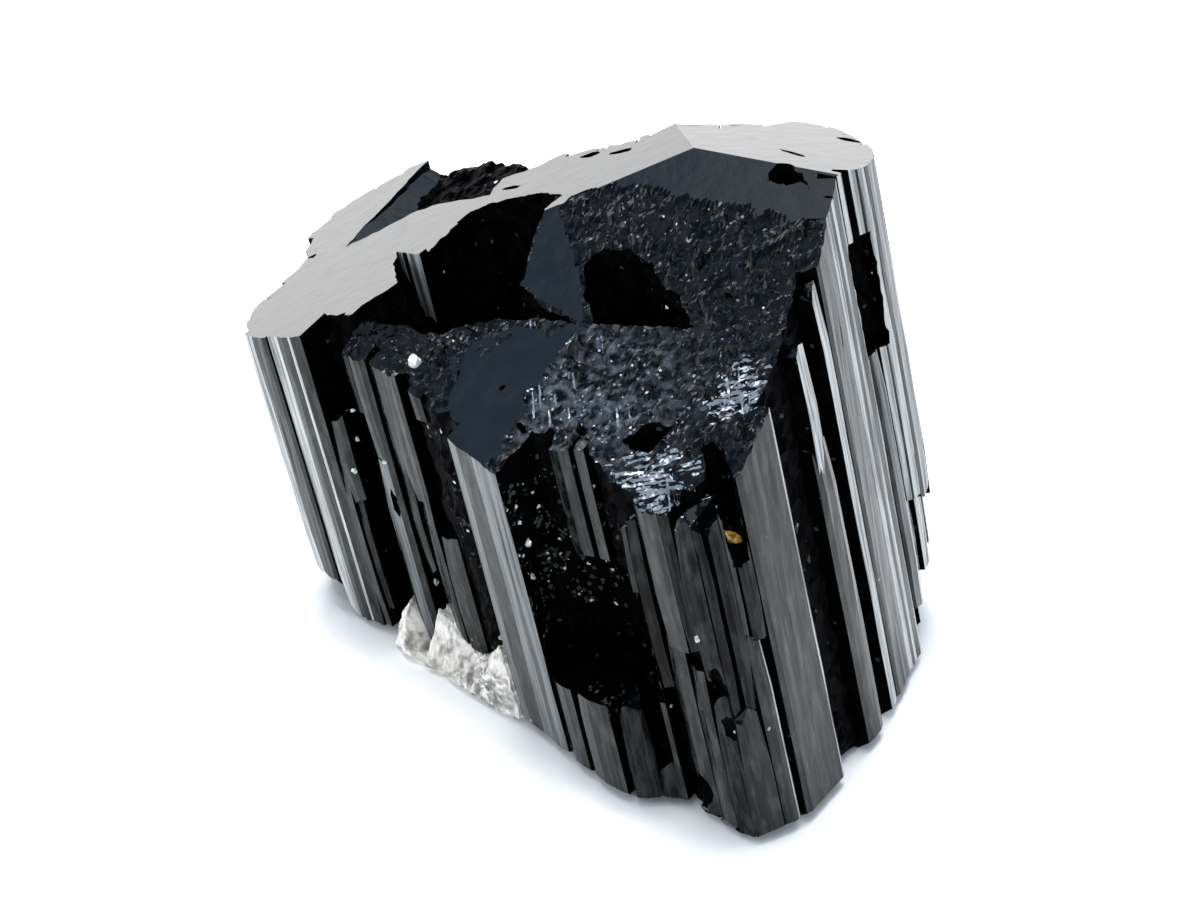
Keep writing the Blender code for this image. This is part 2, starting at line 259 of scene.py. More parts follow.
def etchedTourmaline():
    # broken and etched: tiny facets of navy black, with painted glints as bright specks and streaks, most
    # of them where the rim, corner and ledge catch the light
    finish, tree, place = newFinish("tourmaline_etched")
    look = etchedLook
    rim = patch(tree, place, look["rim"])
    corner = patch(tree, place, look["corner"])
    ledge = patch(tree, place, look["ledge"])
    # painted glints: pale specks and streaks, denser at the ledge, the corner and the rim
    share = addNode(tree, "ShaderNodeMath", {0: ledge, 1: 0.12, 2: 0.012}, operation="MULTIPLY_ADD")
    share = addNode(tree, "ShaderNodeMath", {0: corner, 1: 0.5, 2: share}, operation="MULTIPLY_ADD")
    share = addNode(tree, "ShaderNodeMath", {0: rim, 1: 0.3, 2: share}, operation="MULTIPLY_ADD")
    pale = specks(tree, place, share, look["grain"])
    down = addNode(tree, "ShaderNodeMapping", {
        "Vector": place, "Scale": (1, look["downAlong"], look["downAlong"])})
    pale = addNode(tree, "ShaderNodeMath", {0: pale, 1: specks(tree, down, share, look["downStreak"])},
                   operation="MAXIMUM")
    level = addNode(tree, "ShaderNodeMapping", {"Vector": place, "Scale": (look["levelAlong"], 1, 1)})
    lit = addNode(tree, "ShaderNodeMath", {0: rim, 1: corner}, operation="MAXIMUM")
    lit = addNode(tree, "ShaderNodeMath", {0: lit, 1: 1.6}, operation="MULTIPLY")
    level = specks(tree, level, lit, look["levelStreak"])
    pale = addNode(tree, "ShaderNodeMath", {0: pale, 1: level}, operation="MAXIMUM")
    # broken pale outlines of the etch pits
    pits = addNode(tree, "ShaderNodeTexVoronoi", {"Vector": place, "Scale": look["pit"] * perMm},
                   feature="DISTANCE_TO_EDGE")
    broken = addNode(tree, "ShaderNodeTexNoise", {"Vector": place, "Scale": look["pitBreak"] * perMm,
                                                  "Detail": 3.0})
    broken = addNode(tree, "ShaderNodeMapRange", {"Value": broken, "From Min": 0.54, "From Max": 0.7,
                                                  "To Min": 0.0, "To Max": 0.09})
    curls = addNode(tree, "ShaderNodeMath", {0: pits.outputs["Distance"], 1: broken},
                    operation="LESS_THAN")
    tone = addNode(tree, "ShaderNodeTexNoise", {"Vector": place, "Scale": look["tone"] * perMm,
                                                "Detail": 5.0})
    tone = addNode(tree, "ShaderNodeMapRange", {"Value": tone, "From Min": 0.45, "From Max": 0.72})
    # painted light: the ledge, which faces up, is lightened
    light = addNode(tree, "ShaderNodeMath", {0: tone, 1: ledge}, operation="MULTIPLY")
    base = addNode(tree, "ShaderNodeMix", {
        "Factor": tone, "A": hexColour(look["dark"]), "B": hexColour(look["blue"])},
        data_type="RGBA").outputs["Result"]
    base = addNode(tree, "ShaderNodeMix", {"Factor": light, "A": base, "B": hexColour(look["light"])},
                   data_type="RGBA").outputs["Result"]
    base = addNode(tree, "ShaderNodeMix", {"Factor": curls, "A": base, "B": hexColour(look["curl"])},
                   data_type="RGBA").outputs["Result"]
    glint = addNode(tree, "ShaderNodeMapRange", {"Value": broken, "From Min": 0.0, "From Max": 0.06})
    glint = addNode(tree, "ShaderNodeMix", {
        "Factor": glint, "A": hexColour(look["glint"][0]), "B": hexColour(look["glint"][1])},
        data_type="RGBA").outputs["Result"]
    base = addNode(tree, "ShaderNodeMix", {"Factor": pale, "A": base, "B": glint},
                   data_type="RGBA").outputs["Result"]
    shader = addNode(tree, "ShaderNodeBsdfPrincipled", {
        "Base Color": base, "Roughness": look["roughness"], "IOR": look["index"],
        "Normal": facetNormals(tree, place, look["facets"])})
    addNode(tree, "ShaderNodeOutputMaterial", {"Surface": shader})
    return finish


darkLook = {
    # where the bright specks gather, partly real grains and partly painted glints: a place and its reach in
    # mm
    "cavity": ((18.8, -15.7, -11.0), 9.0),
    "lip": ((22.4, -22.0, -19.3), 3.0),
    "clump": 0.5,
    "dimGrain": (2.6, 0.46),
    "clearGrain": (2.3, 0.36),
    "facets": (1.7, 0.2, 0.8),
    "colours": ("#010102", "#323735", "#c2cad0"),
    "roughness": 0.5,
    "index": 1.08,
}


def darkTourmaline():
    # the walls of the grooves and hollows: rough and black, reflecting almost nothing so that they read as
    # painted shade, with a few bright specks, partly real grains and partly painted glints
    finish, tree, place = newFinish("tourmaline_painted_shade")
    look = darkLook
    cavity = patch(tree, place, look["cavity"])
    lip = patch(tree, place, look["lip"])
    bright = addNode(tree, "ShaderNodeMath", {0: cavity, 1: lip}, operation="MAXIMUM")
    clumps = addNode(tree, "ShaderNodeTexNoise", {"Vector": place, "Scale": look["clump"] * perMm,
                                                  "Detail": 2.0})
    clumps = addNode(tree, "ShaderNodeMapRange", {"Value": clumps, "From Min": 0.42, "From Max": 0.6})
    bright = addNode(tree, "ShaderNodeMath", {0: bright, 1: clumps}, operation="MULTIPLY")
    share = addNode(tree, "ShaderNodeMath", {0: bright, 1: 1.4, 2: 0.02}, operation="MULTIPLY_ADD")
    dim = specks(tree, place, share, look["dimGrain"])
    share = addNode(tree, "ShaderNodeMath", {0: bright, 1: 0.3, 2: 0.002}, operation="MULTIPLY_ADD")
    clear = specks(tree, place, share, look["clearGrain"])
    black, grey, white = [hexColour(code) for code in look["colours"]]
    base = addNode(tree, "ShaderNodeMix", {"Factor": dim, "A": black, "B": grey},
                   data_type="RGBA").outputs["Result"]
    base = addNode(tree, "ShaderNodeMix", {"Factor": clear, "A": base, "B": white},
                   data_type="RGBA").outputs["Result"]
    shader = addNode(tree, "ShaderNodeBsdfPrincipled", {
        "Base Color": base, "Roughness": look["roughness"], "IOR": look["index"],
        "Normal": facetNormals(tree, place, look["facets"])})
    addNode(tree, "ShaderNodeOutputMaterial", {"Surface": shader})
    return finish


surfaces = {
    # the ribbed ones: colours of the ground, the painted highlight lines and the patches, roughness, bump
    # and IOR
    "ribbed": ribbedTourmaline("tourmaline_ribbed", ("#050607", "#262a2a", "#333735"), 0.12, 0.5, 1.29),
    "dull": ribbedTourmaline("tourmaline_dull", ("#060606", "#25282a", "#2f3132"), 0.25, 0.8, 1.17),
    # painted reflection on the narrow sides of the columns: pale, and grey
    "frosted": mattTourmaline("tourmaline_pale_reflection", "#55585a", "#b6b9b8"),
    "worn": mattTourmaline("tourmaline_mottled_sheen", "#2e3133", "#6f7374"),
    "polished": polishedTourmaline(),
    "etched": etchedTourmaline(),
    "dark": darkTourmaline(),
}


def dress(thing, kind, where=None):
    # every tool carries all the finishes, so that a cut keeps the finish of what made it
    if not thing.data.materials:
        for finish in surfaces.values():
            thing.data.materials.append(finish)
    chosen = list(surfaces).index(kind)
    for face in thing.data.polygons:
        if where is None or where(face):
            face.material_index = chosen


def only(thing):
    bpy.ops.object.select_all(action="DESELECT")
    thing.select_set(True)
    bpy.context.view_layer.objects.active = thing


def standUp(thing):
    only(thing)
    thing.matrix_world = Matrix.Scale(mm, 4) @ seat @ prismTurn
    bpy.ops.object.transform_apply(location=True, rotation=True, scale=True)


def applyModifier(thing, kind, **settings):
    only(thing)
    added = thing.modifiers.new(kind.lower(), kind)
    for name, value in settings.items():
        setattr(added, name, value)
    bpy.ops.object.modifier_apply(modifier=added.name)


def combine(target, operation, tools):
    # the manifold solver keeps the body closed where dozens of ribs meet
    for tool in tools:
        applyModifier(target, "BOOLEAN", operation=operation, solver="MANIFOLD", object=tool)
        bpy.data.objects.remove(tool)
    return target


def drawPrism(name, outline, low, high, step=None, kind="dark"):
    bpy.ops.object.select_all(action="DESELECT")
    bpy.ops.mesh.primitive_circle_add(vertices=len(outline), radius=1.0, fill_type="NGON")
    prism = bpy.context.object
    prism.name = name
    for vertex, (u, v) in zip(prism.data.vertices, outline):
        vertex.co = (u, v, low)
    count = 1 if step is None else max(1, round((high - low) / step))
    bpy.ops.object.mode_set(mode="EDIT")
    bpy.ops.mesh.select_all(action="SELECT")
    for level in range(count):
        bpy.ops.mesh.extrude_region_move(TRANSFORM_OT_translate={"value": (0, 0, (high - low) / count)})
    bpy.ops.mesh.select_all(action="SELECT")
    bpy.ops.mesh.normals_make_consistent(inside=False)
    bpy.ops.object.mode_set(mode="OBJECT")
    dress(prism, kind)
    return prism


def ragged(outline, spacing, jitter, seed):
    # an outline cut into short lengths, each corner pushed about a little
    points = []
    for here, after in zip(outline, outline[1:] + outline[:1]):
        here, after = Vector(here), Vector(after)
        parts = max(1, round((after - here).length / spacing))
        for index in range(parts):
            place = here.lerp(after, index / parts)
            push = noise.noise_vector(Vector((place.x * 1.3, place.y * 1.3, seed)))
            points.append((place.x + push.x * jitter * 2, place.y + push.y * jitter * 2))
    return points


def inside(outline, u, v):
    hit = False
    for (au, av), (bu, bv) in zip(outline, outline[1:] + outline[:1]):
        if (av > v) != (bv > v) and u < (bu - au) * (v - av) / (bv - av) + au:
            hit = not hit
    return hit


# the prism: a row for each column, with its left corner u, v, its right corner u, v, w of its foot and
# top, its facets, and its finish where that isn't ribbed
# facets are read left to right: the share of the width, and a letter for the turn and the finish
ribs = {
    # degrees to the side; w is a pale painted reflection, and m a grey painted reflection
    "turn": {"b": 22, "c": 13, "w": 3, "m": 3, "g": 0, "e": -13, "d": -28},
    "matt": {"w": "frosted", "m": "worn"},
    "spacing": (0.35, 0.9),     # mm between the finest ribs
    "relief": 0.004,            # mm that they stand out
    "wander": 0.05,             # mm that an edge strays along the prism
    "step": 4.0,                # mm between the rings of points up a column
    "depth": 4.0,               # mm that a column runs into the core
    "corner": 0.12,             # mm taken off its two outer corners
    # the ends of short columns: how rough in mm, how often that changes, and the share drawn in
    "foot": {"rough": 0.5, "often": 1.7, "drawnIn": 0.1, "seed": 0},
    "top": {"rough": 1.4, "often": 1.9, "drawnIn": 0.14, "seed": 7},
    "seed": 11,
}

leftFace = (
    (0.4, 7.2, -0.6, 4.6, deep, tall, "1g1e"),
    (-0.5, 4.4, -0.1, 2.5, -21.4, tall, "1g"),
    (-0.5, 2.05, 1.55, -0.25, -21.4, tall, "3w4g"),
    (1.55, -0.3, 4.6, -2.65, -24.6, tall, "4w2c2g1w3g"),
    (4.5, -2.6, 5.0, -3.05, -24.6, -9.0, "2g"),
    (4.95, -3.0, 6.1, -3.55, -13.0, -5.8, "4g"),
    (5.2, -3.0, 5.7, -3.25, -23.0, -12.0, "2g", "dull"),
    (7.5, -4.3, 7.95, -4.6, -5.0, tall, "1c1g"),
    (8.0, -4.7, 9.2, -5.45, -9.0, tall, "4g"),
    (7.75, -4.6, 9.2, -5.5, -26.0, -8.6, "1g3m2g"),
    (9.45, -5.65, 11.4, -7.6, -11.6, tall, "5g1c"),
    (9.6, -6.0, 10.25, -6.6, -18.0, -9.0, "2g"),
    (10.45, -6.8, 11.3, -7.6, -24.4, -9.8, "1g2c"),
    (11.3, -7.65, 12.9, -9.25, -24.2, -14.0, "1c5g"),
    (12.2, -8.7, 13.1, -9.7, -3.6, tall, "3g", "dull"))
frontFace = (
    (14.8, -14.05, 18.35, -18.2, deep, tall, "2m1g2g2m1c2m"),
    (18.4, -18.3, 19.9, -20.35, deep, -13.6, "2c3g"),
    (20.2, -20.9, 22.5, -23.0, deep, -18.4, "1g2c5g"),
    (23.2, -23.4, 25.1, -23.2, deep, -20.8, "4g1e", "dull"),
    (22.2, -17.6, 23.6, -18.6, -12.6, tall, "4g"),
    (24.0, -18.8, 24.7, -19.4, -17.0, tall, "2g"),
    (25.0, -23.25, 26.4, -23.5, deep, -26.0, "3g", "dull"),
    (26.3, -23.45, 26.65, -23.65, deep, -6.0, "2g"),
    (26.7, -23.75, 27.4, -24.15, -19.0, -5.0, "3e", "dull"),
    (27.7, -24.4, 29.25, -25.95, -15.0, tall, "1c5g"),
    (27.7, -24.45, 28.85, -25.55, deep, -14.0, "2g1e3g"),
    (29.25, -26.0, 29.7, -26.45, -15.0, tall, "1d", "dull"),
    (29.0, -25.8, 29.9, -26.65, deep, -16.0, "5g"),
    (30.0, -26.7, 31.15, -27.5, -17.0, -4.0, "2e1g2e", "dull"),
    (30.0, -26.75, 31.2, -27.55, deep, -18.4, "2e3g1c", "dull"))
rightFace = (
    (31.2, -27.55, 33.2, -26.45, deep, -20.4, "6g"),
    (33.3, -26.4, 34.4, -25.6, deep, -15.0, "1c3g2c1w"),
    (31.5, -27.3, 32.1, -27.0, -20.0, -5.0, "2g", "dull"),
    (32.4, -26.75, 33.3, -26.3, -20.0, -5.0, "3g", "dull"),
    (33.3, -26.3, 33.65, -26.1, -16.0, -4.6, "1c"),
    (33.8, -25.95, 34.75, -25.3, -15.0, -4.6, "3g", "dull"),
    (34.85, -25.15, 37.65, -20.7, deep, tall, "9g5g1w"),
    (37.6, -18.3, 38.2, -17.4, deep, -8.0, "2g", "dull"),
    (39.65, -17.15, 40.8, -14.95, deep, -6.5, "5g"),
    (39.95, -16.9, 40.65, -15.2, -9.0, 1.0, "2w"),
    (41.6, -13.1, 42.1, -11.65, deep, 3.0, "1w"),
    (42.1, -11.6, 43.25, -8.35, deep, tall, "6g"),
    (43.25, -8.3, 44.4, -5.7, deep, tall, "2w2g2w3g2w"),
    (44.4, -5.65, 45.2, -4.6, -29.0, -6.6, "1g3m1w"),
    (44.4, -5.6, 44.75, -5.1, -1.0, tall, "2w"),
    (45.2, -4.55, 46.35, -3.85, -20.2, tall, "2w1g3w"),
    (46.35, -3.8, 47.15, -1.0, -20.8, tall, "3g1w"),
    (47.15, -0.9, 46.8, 1.6, -22.0, tall, "2g"),
    (45.2, -4.4, 45.5, -2.4, -28.4, tall, "1c1g1c"),
    (45.7, -2.3, 46.3, -0.3, -28.0, tall, "1w1g1w"),
    (46.3, -0.25, 46.1, 3.0, -27.0, tall, "2g1c"),
    (44.1, -4.8, 44.5, -2.4, deep, tall, "1c1g1c1g"),
    (44.6, -2.2, 44.7, 0.0, deep, tall, "1c1g1c"),
    (46.5, 1.7, 45.6, 4.1, -22.4, tall, "2g"),
    (45.5, 4.2, 44.4, 6.0, -27.0, tall, "2g"))

# the hidden sides, filled with columns of the same kind
back = {
    "corners": ((44.3, 6.1), (42.2, 7.5), (36.6, 7.0), (30.7, 7.7), (27.6, 8.9), (23.6, 11.5), (20.8, 16.2),
                (18.4, 19.2), (15.0, 21.6), (12.4, 22.0), (8.4, 20.6), (5.3, 19.2), (2.8, 16.2),
                (3.5, 11.8), (1.6, 9.1), (0.5, 7.4)),
    "widths": (1.0, 3.0),
    "narrowest": 0.7,           # a remainder under this joins the column before it
    "gap": 0.3,                 # a remainder under this stays empty
    "sunk": 0.35,
    "feet": (deep, deep, deep, -24.0, -15.0),
    "turns": "bcgged",
    "seed": 7,
}


def facetLine(start, end, facets, side, pick):
    # the outer line of one column, with its finest ribs, and the letter of each length of it
    along = (end - start).normalized()
    outward = Vector((along.y, -along.x))
    width = (end - start).length
    shares = [(int(facets[k]), facets[k + 1]) for k in range(0, len(facets), 2)]
    total = sum(share for share, letter in shares)
    points, letters, place, height = [], [], 0.0, 0.0
    for share, letter in shares:
        length = width * share / total
        slope = math.tan(math.radians(ribs["turn"][letter])) * side
        parts = max(1, round(length / pick.uniform(*ribs["spacing"])))
        for index in range(parts):
            points.append((place + length * index / parts, height + slope * length * index / parts))
            letters.append(letter)
        place += length
        height += slope * length
    points.append((place, height))
    top = max(height for place, height in points)
    line = []
    for place, height in points:
        lift = height - top + pick.uniform(-1, 1) * ribs["relief"]
        line.append(start + along * place + outward * lift)
    return line, letters


def roughenEnd(vertex, end, seed, middle):
    often = end["often"]
    rough = noise.noise(Vector((vertex.co.x * often, vertex.co.y * often, seed + end["seed"])))
    vertex.co.z += end["rough"] * rough
    vertex.co.xy = vertex.co.xy.lerp(middle, end["drawnIn"])


def growColumn(name, row, side, pick):
    startU, startV, endU, endV, foot, top, facets, *finish = row
    start, end = Vector((startU, startV)), Vector((endU, endV))
    along = (end - start).normalized()
    inward = Vector((-along.y, along.x))
    line, letters = facetLine(start, end, facets, side, pick)
    corner = min(ribs["corner"], (end - start).length * 0.2)
    line[0] += inward * corner
    line[-1] += inward * corner
    outline = [start + inward * ribs["depth"]] + line + [end + inward * ribs["depth"]]
    column = drawPrism(name, [tuple(point) for point in outline], foot, top, ribs["step"],
                       finish[0] if finish else "ribbed")
    # the side walls of each column, down in the grooves, take the painted-shade finish
    dress(column, "dark", lambda face: abs(face.normal.xy.dot(along)) > 0.85)
    dress(column, "etched", lambda face: abs(face.normal.z) > 0.5)
    # the w and m facets carry the painted reflection
    for letter, matt in ribs["matt"].items():
        spots = [(line[k] + line[k + 1]) / 2 for k, own in enumerate(letters) if own == letter]
        dress(column, matt, lambda face: any((face.center.xy - spot).length < 0.01 for spot in spots))
    seed = pick.uniform(0, 90)
    middle = sum(outline, Vector((0, 0))) / len(outline)
    for vertex in column.data.vertices:
        shift = noise.noise(Vector((vertex.co.x * 2, vertex.co.y * 2, vertex.co.z * 0.12 + seed)))
        vertex.co.xy -= inward * abs(shift) * ribs["wander"] * 2
        if vertex.co.z < foot + 0.1 and foot > deep:
            roughenEnd(vertex, ribs["foot"], seed, middle)
        if vertex.co.z > top - 0.1 and top < tall:
            roughenEnd(vertex, ribs["top"], seed, middle)
    return column


def growBack(pick):
    rows = []
    for start, end in zip(back["corners"], back["corners"][1:]):
        start, end = Vector(start), Vector(end)
        length = (end - start).length
        along = (end - start).normalized()
        inward = Vector((-along.y, along.x))
        place = 0.0
        while place < length - back["gap"]:
            width = min(pick.uniform(*back["widths"]), length - place)
            if length - place - width < back["narrowest"]:
                width = length - place
            sunk = inward * pick.uniform(0.0, back["sunk"])
            left = start + along * place + sunk
            right = start + along * (place + width) + sunk
            foot = pick.choice(back["feet"])
            facets = "".join(str(pick.randint(1, 4)) + pick.choice(back["turns"]) for index in range(3))
            rows.append((*left, *right, foot, tall, facets))
            place += width
    return rows


# the middle of the crystal, which shows at the bottom of the grooves
core = {
    "outline": ((2.3, 2.3), (5.4, 0.2), (9.2, -3.0), (12.0, -6.4), (14.0, -10.8), (16.4, -13.2),
                (19.2, -14.8), (22.0, -16.2), (24.5, -17.3), (25.4, -19.4), (26.2, -21.8), (28.0, -23.6),
                (30.0, -25.2), (31.8, -25.0), (33.4, -23.0), (35.6, -21.4), (37.2, -19.2), (38.6, -16.8),
                (39.8, -13.6), (41.2, -9.4), (43.0, -5.2), (44.4, 1.6), (43.2, 5.2), (36.6, 6.1),
                (30.4, 6.8), (27.0, 8.0), (22.8, 10.8), (20.0, 15.6), (17.6, 18.5), (14.6, 20.6),
                (12.4, 21.0), (8.8, 19.7), (6.0, 18.4), (3.8, 15.8), (4.5, 11.6), (2.4, 8.8), (1.4, 6.8)),
    "spacing": 0.55,            # mm between the points of its outline
    "step": 0.8,                # mm between the rings of points up it
    "relief": 0.22,             # mm of roughness
}


def growCore():
    outline = ragged(core["outline"], core["spacing"], 0.1, 3.0)
    # the core takes the painted-shade finish of the grooves
    body = drawPrism("tourmaline", outline, deep, tall, core["step"])
    for vertex in body.data.vertices:
        if deep + 0.1 < vertex.co.z < tall - 0.1:
            vertex.co += noise.noise_vector(vertex.co * 1.9) * core["relief"] * 2
    return body


# the tip: flat growth faces, and where it broke or was etched away
tip = {
    "apex": Vector((34.7, 1.3, 8.5)),
    "leftFace": Vector((-0.2473, 0.0756, 1.0)),
    "rightFace": Vector((0.1891, 0.1764, 1.0)),
    "frontFace": Vector((-0.224, -0.411, 0.884)),
    "ledgePoint": Vector((14.8, -14.2, -2.6)),
    "ledge": Vector((-0.208, -0.340, 1.0)),
    "shelf": 1.0,               # mm that the left shelf lies above the ledge
    "troughPoint": Vector((6.9, 10.7, 0.9)),
    "troughFacet": Vector((0.56, -0.31, 1.0)),
    "troughDepth": 1.4,
}
breaks = {
    "front": ((15.6, -5.5), (13.7, -10.3), (12.0, -11.0), (12.0, -45.0), (60.0, -45.0), (60.0, 4.8),
              (16.2, 4.8), (14.4, 3.1), (13.6, -2.4)),
    "left": ((4.6, -6.4), (12.4, -12.0), (15.2, -11.0), (17.4, -5.5), (14.4, -1.8), (12.0, -0.7),
             (10.1, -1.5), (8.3, -2.8), (6.3, -3.2)),
    "back": ((6.9, 10.7), (9.8, 11.1), (12.0, 11.8), (14.6, 11.4), (17.2, 9.5), (18.8, 8.7),
             (19.6, 10.8), (22.8, 10.4), (30.0, 12.0), (20.0, 30.0), (17.7, 30.0)),
    "smoothBand": ((26.9, 1.7), (29.2, 1.0), (30.5, -0.2), (33.3, -2.0), (37.4, -5.0), (40.1, -6.7),
                   (42.4, -8.4), (44.5, -10.9), (50.0, -12.0), (50.0, 6.0), (26.0, 6.0)),
    "smoothFlake": ((23.9, 2.6), (22.6, 0.0), (21.8, -1.7), (21.1, -3.6), (22.5, -5.7), (25.2, -8.5),
                    (25.7, -8.3), (25.6, -4.4), (24.4, 2.4)),
    "smoothLedge": ((13.7, -7.8), (18.6, -6.0), (25.9, -8.0), (24.4, -9.8), (21.3, -12.4),
                    (18.9, -17.0), (14.8, -17.0), (12.0, -11.0)),
    "cell": 0.25,               # mm between the points of a relief
    # the plan that each relief covers, from one corner to the other
    "frontPlan": ((10.0, -32.0), (52.0, 8.0)),
    "leftPlan": ((3.0, -14.0), (18.0, 2.0)),
    "backPlan": ((4.0, 6.0), (32.0, 32.0)),
}
# name, outline, w of the floor and of the rim, and the share of the plan left at the floor
hollows = (
    ("left_hollow", ((9.2, -1.9), (11.9, -2.9), (13.4, -4.1), (14.9, -5.0), (16.4, -4.6), (18.7, -5.4),
                     (21.6, -6.5), (25.0, -8.4), (22.5, -5.7), (21.1, -3.6), (21.8, -1.7), (22.6, 0.0),
                     (23.9, 2.2), (24.8, 2.7), (22.9, 5.2), (18.9, 7.2), (17.3, 7.0), (16.2, 5.7),
                     (14.4, 3.0), (13.8, 4.0), (11.6, 6.4), (11.6, 3.0), (12.0, -0.6),
                     (10.3, -1.4)), -7.5, tall, 0.62),
    ("right_hollow", ((26.0, -8.7), (29.4, -10.4), (33.2, -12.3), (32.6, -10.6), (32.2, -9.2),
                      (31.2, -7.7), (30.7, -6.0), (29.5, -4.3), (27.2, -3.5), (25.9, -3.9),
                      (25.8, -6.2)), -4.6, 8.0, 0.5),
    ("lens_pit", ((26.6, -18.8), (27.3, -19.9), (28.4, -20.7), (29.6, -21.1), (30.6, -20.5),
                  (31.7, -19.2), (29.5, -18.2), (28.1, -18.5)), -5.6, 1.0, 0.45),
    ("front_notch", ((32.5, -21.2), (33.0, -24.6), (33.6, -28.4), (35.2, -27.6), (34.7, -25.0),
                     (34.5, -23.4), (33.7, -21.4)), -8.6, 4.0, 0.8),
    ("front_cavity", ((18.8, -14.6), (21.8, -14.2), (24.6, -15.8), (26.4, -18.6), (27.0, -21.6),
                      (26.0, -28.0), (20.2, -26.0), (18.4, -17.4)), -20.4, -11.0, 1.0),
    ("ridge_pit", ((39.46, -3.03), (40.29, -2.37), (41.3, -2.65), (42.13, -4.29), (42.88, -6.14),
                   (42.12, -5.02), (41.2, -4.9), (40.06, -4.22), (39.26, -3.61)), 4.8, tall, 0.8),
    ("right_notch", ((44.4, -6.4), (45.6, -5.4), (46.0, -4.2), (45.3, -3.0), (43.6, -4.4)),
     -6.8, 2.4, 1.0))


# a striated stub of a column that stands in the left hollow
hollowColumn = (10.9, 6.1, 13.5, 3.2, -2.6, 8.0, "1w1m1w1g1w1m1w")


slabSize = 120.0                # mm, wider than the crystal
sheetHeight = 40.0


def flatSlab(name, point, normal, kind="polished"):
    # a block whose lower side is the plane through the point
    bpy.ops.object.select_all(action="DESELECT")
    bpy.ops.mesh.primitive_cube_add(size=slabSize)
    slab = bpy.context.object
    slab.name = name
    turn = Vector((0, 0, 1)).rotation_difference(normal.normalized()).to_matrix().to_4x4()
    slab.data.transform(Matrix.Translation(point) @ turn @ Matrix.Translation((0, 0, slabSize / 2)))
    dress(slab, kind)
    return slab


def chips(u, v, size, calm, wild, seed):
    # small flat facets, most of them almost level and a few steep
    centre = noise.voronoi(Vector((u / size, v / size, seed)))[1][0]
    turn = noise.cell_vector(centre * 37.0)
    away = Vector((u / size, v / size)) - centre.xy
    tilt = calm + wild * turn.z ** 4
    return size * (tilt * 2 * ((turn.x - 0.5) * away.x + (turn.y - 0.5) * away.y) + 0.1 * (turn.z - 0.5))


def etched(u, v, seed, strength=1.0):
    # a long swell with coarse and fine facets on it, in mm
    swell = noise.noise(Vector((u * 0.35, v * 0.35, seed))) * 0.3
    fine = chips(u, v, 1.7, 0.1, 0.35, seed) + chips(u, v, 0.75, 0.1, 0.6, seed + 5)
    return strength * (swell + fine) - 0.15


def roughSheet(name, low, high, point, normal, relief, cell=breaks["cell"], kind="etched"):
    # a closed block whose lower side is a relief on the plane, over the plan from low to high
    spanU, spanV = high[0] - low[0], high[1] - low[1]
    bpy.ops.object.select_all(action="DESELECT")
    bpy.ops.mesh.primitive_grid_add(x_subdivisions=round(spanU / cell),
                                    y_subdivisions=round(spanV / cell), size=2.0)
    sheet = bpy.context.object
    sheet.name = name
    level = set()
    for vertex in sheet.data.vertices:
        u = (low[0] + high[0]) / 2 + vertex.co.x * spanU / 2
        v = (low[1] + high[1]) / 2 + vertex.co.y * spanV / 2
        flat = point.z - ((u - point.x) * normal.x + (v - point.y) * normal.y) / normal.z
        rise = relief(u, v)
        vertex.co = (u, v, flat + rise)
        if rise == 0:
            level.add(vertex.index)
    dress(sheet, kind)
    dress(sheet, "polished", lambda face: level.issuperset(face.vertices))
    bpy.ops.object.mode_set(mode="EDIT")
    bpy.ops.mesh.select_all(action="SELECT")
    bpy.ops.mesh.extrude_region_move(TRANSFORM_OT_translate={"value": (0, 0, sheetHeight)})
    bpy.ops.mesh.select_all(action="SELECT")
    bpy.ops.mesh.normals_make_consistent(inside=False)
    bpy.ops.object.mode_set(mode="OBJECT")
    return sheet


def slopeRelief(u, v):
    push = noise.noise_vector(Vector((u * 0.9, v * 0.9, 4.0))) * 0.7
    if inside(breaks["smoothBand"], u + push.x, v + push.y) or inside(breaks["smoothFlake"], u, v):
        return 0.0
    return etched(u, v, 2.0)


def ledgeRelief(u, v):
    push = noise.noise_vector(Vector((u * 0.9, v * 0.9, 9.0))) * 1.2
    if inside(breaks["smoothLedge"], u + push.x, v + push.y):
        return 0.0
    return etched(u, v, 8.0, 1.15)


def shelfRelief(u, v):
    # it comes down to the ledge where the two meet
    ramp = max(0.0, min(1.0, (u - 9.0) / 4.0))
    return etched(u, v, 14.0, 0.7) - tip["shelf"] * ramp


